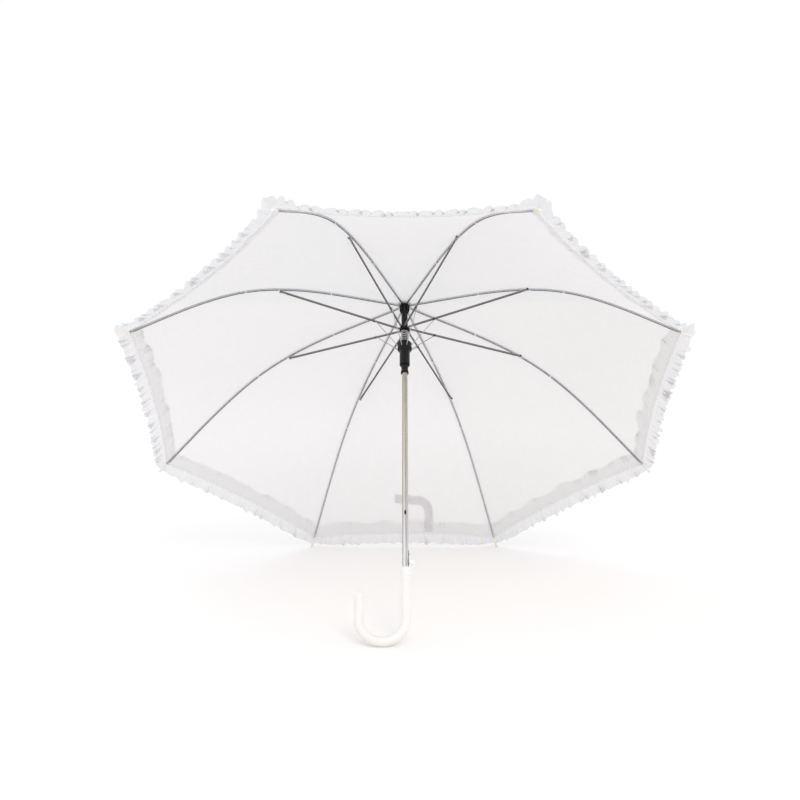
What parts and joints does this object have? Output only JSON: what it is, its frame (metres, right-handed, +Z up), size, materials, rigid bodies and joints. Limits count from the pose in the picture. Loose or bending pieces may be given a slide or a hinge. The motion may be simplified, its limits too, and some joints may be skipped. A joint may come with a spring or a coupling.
{
  "type": "stick umbrella",
  "caption": "Open stick umbrella with a frilled white cloth canopy on hinged folding ribs, a sprung runner pair, a push button and a plain hook handle, lying at rest",
  "frame": {"origin": "Centre of the bottom of the bounding box, on the floor the open umbrella lies on.", "axes": "+Z up from the floor. +X runs across the canopy, away from the side its hook curls to. +Y points from the hook handle under the canopy, so the shaft rises toward +Y and +Z at about 45 degrees."},
  "size_m": [0.9504, 0.685, 0.6717],
  "materials": {
    "shaft_steel": "bright drawn steel tube, faintly warm",
    "rib_steel": "bright plated steel channel",
    "stretcher_steel": "darker plated steel channel",
    "strut_steel": "bright thin wire",
    "spring_steel": "bright spring wire",
    "lever_steel": "satin grey pressed strip",
    "black_plastic": "black moulded plastic, soft shine",
    "white_plastic": "white moulded plastic",
    "handle_plastic": "glossy milky white plastic",
    "button_plastic": "glossy white plastic",
    "tip_plastic": "ivory plastic",
    "canopy_cloth": "thin white woven cloth with a sheer gathered frill",
    "strap_cloth": "white woven strap"
  },
  "bodies": {
    "stick": {"shaft": "shaft_steel", "top_notch": "black_plastic", "spacer_sleeve": "black_plastic", "rosette_cap": "white_plastic", "ferrule": "white_plastic", "release_lever": "lever_steel", "handle": "handle_plastic"},
    "upper_runner": {"upper_runner": "black_plastic", "coil_spring": "spring_steel"},
    "lower_runner": {"lower_runner": "black_plastic"},
    "push_button": {"push_button": "button_plastic"},
    "rib_1": {"rib_inner_1": "rib_steel"},
    "rib_outer_1": {"rib_outer_1": "rib_steel", "rib_tip_1": "tip_plastic", "canopy_1": "canopy_cloth"},
    "stretcher_1": {"stretcher_1": "stretcher_steel"},
    "strut_1": {"strut_1": "strut_steel"},
    "rib_2": {"rib_inner_2": "rib_steel"},
    "rib_outer_2": {"rib_outer_2": "rib_steel", "rib_tip_2": "tip_plastic", "canopy_2": "canopy_cloth"},
    "stretcher_2": {"stretcher_2": "stretcher_steel"},
    "strut_2": {"strut_2": "strut_steel"},
    "rib_3": {"rib_inner_3": "rib_steel"},
    "rib_outer_3": {"rib_outer_3": "rib_steel", "rib_tip_3": "tip_plastic", "canopy_3": "canopy_cloth"},
    "stretcher_3": {"stretcher_3": "stretcher_steel"},
    "strut_3": {"strut_3": "strut_steel"},
    "rib_4": {"rib_inner_4": "rib_steel"},
    "rib_outer_4": {"rib_outer_4": "rib_steel", "rib_tip_4": "tip_plastic", "canopy_4": "canopy_cloth"},
    "stretcher_4": {"stretcher_4": "stretcher_steel"},
    "strut_4": {"strut_4": "strut_steel"},
    "rib_5": {"rib_inner_5": "rib_steel"},
    "rib_outer_5": {"rib_outer_5": "rib_steel", "rib_tip_5": "tip_plastic", "canopy_5": "canopy_cloth"},
    "stretcher_5": {"stretcher_5": "stretcher_steel"},
    "strut_5": {"strut_5": "strut_steel"},
    "rib_6": {"rib_inner_6": "rib_steel"},
    "rib_outer_6": {"rib_outer_6": "rib_steel", "rib_tip_6": "tip_plastic", "canopy_6": "canopy_cloth"},
    "stretcher_6": {"stretcher_6": "stretcher_steel"},
    "strut_6": {"strut_6": "strut_steel"},
    "rib_7": {"rib_inner_7": "rib_steel"},
    "rib_outer_7": {"rib_outer_7": "rib_steel", "rib_tip_7": "tip_plastic", "canopy_7": "canopy_cloth", "tie_strap": "strap_cloth"},
    "stretcher_7": {"stretcher_7": "stretcher_steel"},
    "strut_7": {"strut_7": "strut_steel"},
    "rib_8": {"rib_inner_8": "rib_steel"},
    "rib_outer_8": {"rib_outer_8": "rib_steel", "rib_tip_8": "tip_plastic", "canopy_8": "canopy_cloth"},
    "stretcher_8": {"stretcher_8": "stretcher_steel"},
    "strut_8": {"strut_8": "strut_steel"}
  },
  "joints": [
    {"name": "fold", "type": "slide", "parent": "stick", "child": "upper_runner", "axis": [0, -0.6988, -0.7153], "range_m": [0, 0.42244], "stiffness_N_per_m": 60, "springref_m": -0.25, "deforming": ["coil_spring", "tie_strap", "canopy_1", "canopy_2", "canopy_3", "canopy_4", "canopy_5", "canopy_6", "canopy_7", "canopy_8"]},
    {"name": "lower_slide", "type": "slide", "parent": "stick", "child": "lower_runner", "axis": [0, -0.6988, -0.7153], "range_m": [0, 0.39182]},
    {"name": "rib_hinge_1", "type": "hinge", "parent": "stick", "child": "rib_1", "pos_m": [0.00721, 0.17133, 0.51447], "axis": [0.3827, 0.6608, -0.6456], "range_deg": [0, 77.98]},
    {"name": "rib_bend_1", "type": "hinge", "parent": "rib_1", "child": "rib_outer_1", "pos_m": [0.22764, 0.07384, 0.54533], "axis": [-0.3827, -0.6608, 0.6456], "range_deg": [0, 26.85]},
    {"name": "stretcher_hinge_1", "type": "hinge", "parent": "upper_runner", "child": "stretcher_1", "pos_m": [0.00594, 0.12834, 0.47482], "axis": [-0.3827, -0.6608, 0.6456], "range_deg": [0, 86.85]},
    {"name": "strut_hinge_1", "type": "hinge", "parent": "lower_runner", "child": "strut_1", "pos_m": [0.01026, 0.09492, 0.43953], "axis": [-0.3827, -0.6608, 0.6456], "range_deg": [0, 46.55]},
    {"name": "rib_hinge_2", "type": "hinge", "parent": "stick", "child": "rib_2", "pos_m": [0.00298, 0.16831, 0.51742], "axis": [0.9239, 0.2737, -0.2674], "range_deg": [0, 77.98]},
    {"name": "rib_bend_2", "type": "hinge", "parent": "rib_2", "child": "rib_outer_2", "pos_m": [0.09429, -0.02155, 0.63852], "axis": [-0.9239, -0.2737, 0.2674], "range_deg": [0, 26.85]},
    {"name": "stretcher_hinge_2", "type": "hinge", "parent": "upper_runner", "child": "stretcher_2", "pos_m": [-0.00006, 0.1266, 0.47653], "axis": [-0.9239, -0.2737, 0.2674], "range_deg": [0, 86.85]},
    {"name": "strut_hinge_2", "type": "hinge", "parent": "lower_runner", "child": "strut_2", "pos_m": [0.00352, 0.09083, 0.44352], "axis": [-0.9239, -0.2737, 0.2674], "range_deg": [0, 46.55]},
    {"name": "rib_hinge_3", "type": "hinge", "parent": "stick", "child": "rib_3", "pos_m": [-0.00298, 0.16831, 0.51742], "axis": [0.9239, -0.2737, 0.2674], "range_deg": [0, 77.98]},
    {"name": "rib_bend_3", "type": "hinge", "parent": "rib_3", "child": "rib_outer_3", "pos_m": [-0.09429, -0.02155, 0.63852], "axis": [-0.9239, 0.2737, -0.2674], "range_deg": [0, 26.85]},
    {"name": "stretcher_hinge_3", "type": "hinge", "parent": "upper_runner", "child": "stretcher_3", "pos_m": [-0.00603, 0.12841, 0.47476], "axis": [-0.9239, 0.2737, -0.2674], "range_deg": [0, 86.85]},
    {"name": "strut_hinge_3", "type": "hinge", "parent": "lower_runner", "child": "strut_3", "pos_m": [-0.00528, 0.09135, 0.44302], "axis": [-0.9239, 0.2737, -0.2674], "range_deg": [0, 46.55]},
    {"name": "rib_hinge_4", "type": "hinge", "parent": "stick", "child": "rib_4", "pos_m": [-0.00721, 0.17133, 0.51447], "axis": [0.3827, -0.6608, 0.6456], "range_deg": [0, 77.98]},
    {"name": "rib_bend_4", "type": "hinge", "parent": "rib_4", "child": "rib_outer_4", "pos_m": [-0.22764, 0.07384, 0.54533], "axis": [-0.3827, 0.6608, -0.6456], "range_deg": [0, 26.85]},
    {"name": "stretcher_hinge_4", "type": "hinge", "parent": "upper_runner", "child": "stretcher_4", "pos_m": [-0.00847, 0.1327, 0.47056], "axis": [-0.3827, 0.6608, -0.6456], "range_deg": [0, 86.85]},
    {"name": "strut_hinge_4", "type": "hinge", "parent": "lower_runner", "child": "strut_4", "pos_m": [-0.01099, 0.09617, 0.43831], "axis": [-0.3827, 0.6608, -0.6456], "range_deg": [0, 46.55]},
    {"name": "rib_hinge_5", "type": "hinge", "parent": "stick", "child": "rib_5", "pos_m": [-0.00721, 0.17561, 0.51029], "axis": [-0.3827, -0.6608, 0.6456], "range_deg": [0, 77.98]},
    {"name": "rib_bend_5", "type": "hinge", "parent": "rib_5", "child": "rib_outer_5", "pos_m": [-0.22764, 0.20873, 0.41354], "axis": [0.3827, 0.6608, -0.6456], "range_deg": [0, 26.85]},
    {"name": "stretcher_hinge_5", "type": "hinge", "parent": "upper_runner", "child": "stretcher_5", "pos_m": [-0.00594, 0.13697, 0.46639], "axis": [0.3827, 0.6608, -0.6456], "range_deg": [0, 86.85]},
    {"name": "strut_hinge_5", "type": "hinge", "parent": "lower_runner", "child": "strut_5", "pos_m": [-0.01026, 0.10247, 0.43216], "axis": [0.3827, 0.6608, -0.6456], "range_deg": [0, 46.55]},
    {"name": "rib_hinge_6", "type": "hinge", "parent": "stick", "child": "rib_6", "pos_m": [-0.00298, 0.17862, 0.50734], "axis": [-0.9239, -0.2737, 0.2674], "range_deg": [0, 77.98]},
    {"name": "rib_bend_6", "type": "hinge", "parent": "rib_6", "child": "rib_outer_6", "pos_m": [-0.09429, 0.30411, 0.32035], "axis": [0.9239, 0.2737, -0.2674], "range_deg": [0, 26.85]},
    {"name": "stretcher_hinge_6", "type": "hinge", "parent": "upper_runner", "child": "stretcher_6", "pos_m": [0.00006, 0.13872, 0.46469], "axis": [0.9239, 0.2737, -0.2674], "range_deg": [0, 86.85]},
    {"name": "strut_hinge_6", "type": "hinge", "parent": "lower_runner", "child": "strut_6", "pos_m": [-0.00352, 0.10655, 0.42817], "axis": [0.9239, 0.2737, -0.2674], "range_deg": [0, 46.55]},
    {"name": "rib_hinge_7", "type": "hinge", "parent": "stick", "child": "rib_7", "pos_m": [0.00298, 0.17862, 0.50734], "axis": [-0.9239, 0.2737, -0.2674], "range_deg": [0, 77.98]},
    {"name": "rib_bend_7", "type": "hinge", "parent": "rib_7", "child": "rib_outer_7", "pos_m": [0.09429, 0.30411, 0.32035], "axis": [0.9239, -0.2737, 0.2674], "range_deg": [0, 26.85]},
    {"name": "stretcher_hinge_7", "type": "hinge", "parent": "upper_runner", "child": "stretcher_7", "pos_m": [0.00603, 0.13691, 0.46645], "axis": [0.9239, -0.2737, 0.2674], "range_deg": [0, 86.85]},
    {"name": "strut_hinge_7", "type": "hinge", "parent": "lower_runner", "child": "strut_7", "pos_m": [0.00528, 0.10603, 0.42867], "axis": [0.9239, -0.2737, 0.2674], "range_deg": [0, 46.55]},
    {"name": "rib_hinge_8", "type": "hinge", "parent": "stick", "child": "rib_8", "pos_m": [0.00721, 0.17561, 0.51029], "axis": [-0.3827, 0.6608, -0.6456], "range_deg": [0, 77.98]},
    {"name": "rib_bend_8", "type": "hinge", "parent": "rib_8", "child": "rib_outer_8", "pos_m": [0.22764, 0.20873, 0.41354], "axis": [0.3827, -0.6608, 0.6456], "range_deg": [0, 26.85]},
    {"name": "stretcher_hinge_8", "type": "hinge", "parent": "upper_runner", "child": "stretcher_8", "pos_m": [0.00847, 0.13261, 0.47065], "axis": [0.3827, -0.6608, 0.6456], "range_deg": [0, 86.85]},
    {"name": "strut_hinge_8", "type": "hinge", "parent": "lower_runner", "child": "strut_8", "pos_m": [0.01099, 0.10121, 0.43338], "axis": [0.3827, -0.6608, 0.6456], "range_deg": [0, 46.55]},
    {"name": "button_press", "type": "slide", "parent": "stick", "child": "push_button", "axis": [-1, 0, 0], "range_m": [0, 0.002], "stiffness_N_per_m": 400, "springref_m": -0.002}
  ],
  "couplings": [
    {"joint": "lower_slide", "follows": "fold", "ratio": 0.92705},
    {"joint": "rib_hinge_1", "follows": "fold", "rad_per_m": 3.2203},
    {"joint": "rib_bend_1", "follows": "fold", "rad_per_m": 1.1089},
    {"joint": "stretcher_hinge_1", "follows": "fold", "rad_per_m": 3.5864},
    {"joint": "strut_hinge_1", "follows": "fold", "rad_per_m": 1.9223},
    {"joint": "rib_hinge_2", "follows": "fold", "rad_per_m": 3.2203},
    {"joint": "rib_bend_2", "follows": "fold", "rad_per_m": 1.1089},
    {"joint": "stretcher_hinge_2", "follows": "fold", "rad_per_m": 3.5864},
    {"joint": "strut_hinge_2", "follows": "fold", "rad_per_m": 1.9223},
    {"joint": "rib_hinge_3", "follows": "fold", "rad_per_m": 3.2203},
    {"joint": "rib_bend_3", "follows": "fold", "rad_per_m": 1.1089},
    {"joint": "stretcher_hinge_3", "follows": "fold", "rad_per_m": 3.5864},
    {"joint": "strut_hinge_3", "follows": "fold", "rad_per_m": 1.9223},
    {"joint": "rib_hinge_4", "follows": "fold", "rad_per_m": 3.2203},
    {"joint": "rib_bend_4", "follows": "fold", "rad_per_m": 1.1089},
    {"joint": "stretcher_hinge_4", "follows": "fold", "rad_per_m": 3.5864},
    {"joint": "strut_hinge_4", "follows": "fold", "rad_per_m": 1.9223},
    {"joint": "rib_hinge_5", "follows": "fold", "rad_per_m": 3.2203},
    {"joint": "rib_bend_5", "follows": "fold", "rad_per_m": 1.1089},
    {"joint": "stretcher_hinge_5", "follows": "fold", "rad_per_m": 3.5864},
    {"joint": "strut_hinge_5", "follows": "fold", "rad_per_m": 1.9223},
    {"joint": "rib_hinge_6", "follows": "fold", "rad_per_m": 3.2203},
    {"joint": "rib_bend_6", "follows": "fold", "rad_per_m": 1.1089},
    {"joint": "stretcher_hinge_6", "follows": "fold", "rad_per_m": 3.5864},
    {"joint": "strut_hinge_6", "follows": "fold", "rad_per_m": 1.9223},
    {"joint": "rib_hinge_7", "follows": "fold", "rad_per_m": 3.2203},
    {"joint": "rib_bend_7", "follows": "fold", "rad_per_m": 1.1089},
    {"joint": "stretcher_hinge_7", "follows": "fold", "rad_per_m": 3.5864},
    {"joint": "strut_hinge_7", "follows": "fold", "rad_per_m": 1.9223},
    {"joint": "rib_hinge_8", "follows": "fold", "rad_per_m": 3.2203},
    {"joint": "rib_bend_8", "follows": "fold", "rad_per_m": 1.1089},
    {"joint": "stretcher_hinge_8", "follows": "fold", "rad_per_m": 3.5864},
    {"joint": "strut_hinge_8", "follows": "fold", "rad_per_m": 1.9223}
  ]
}
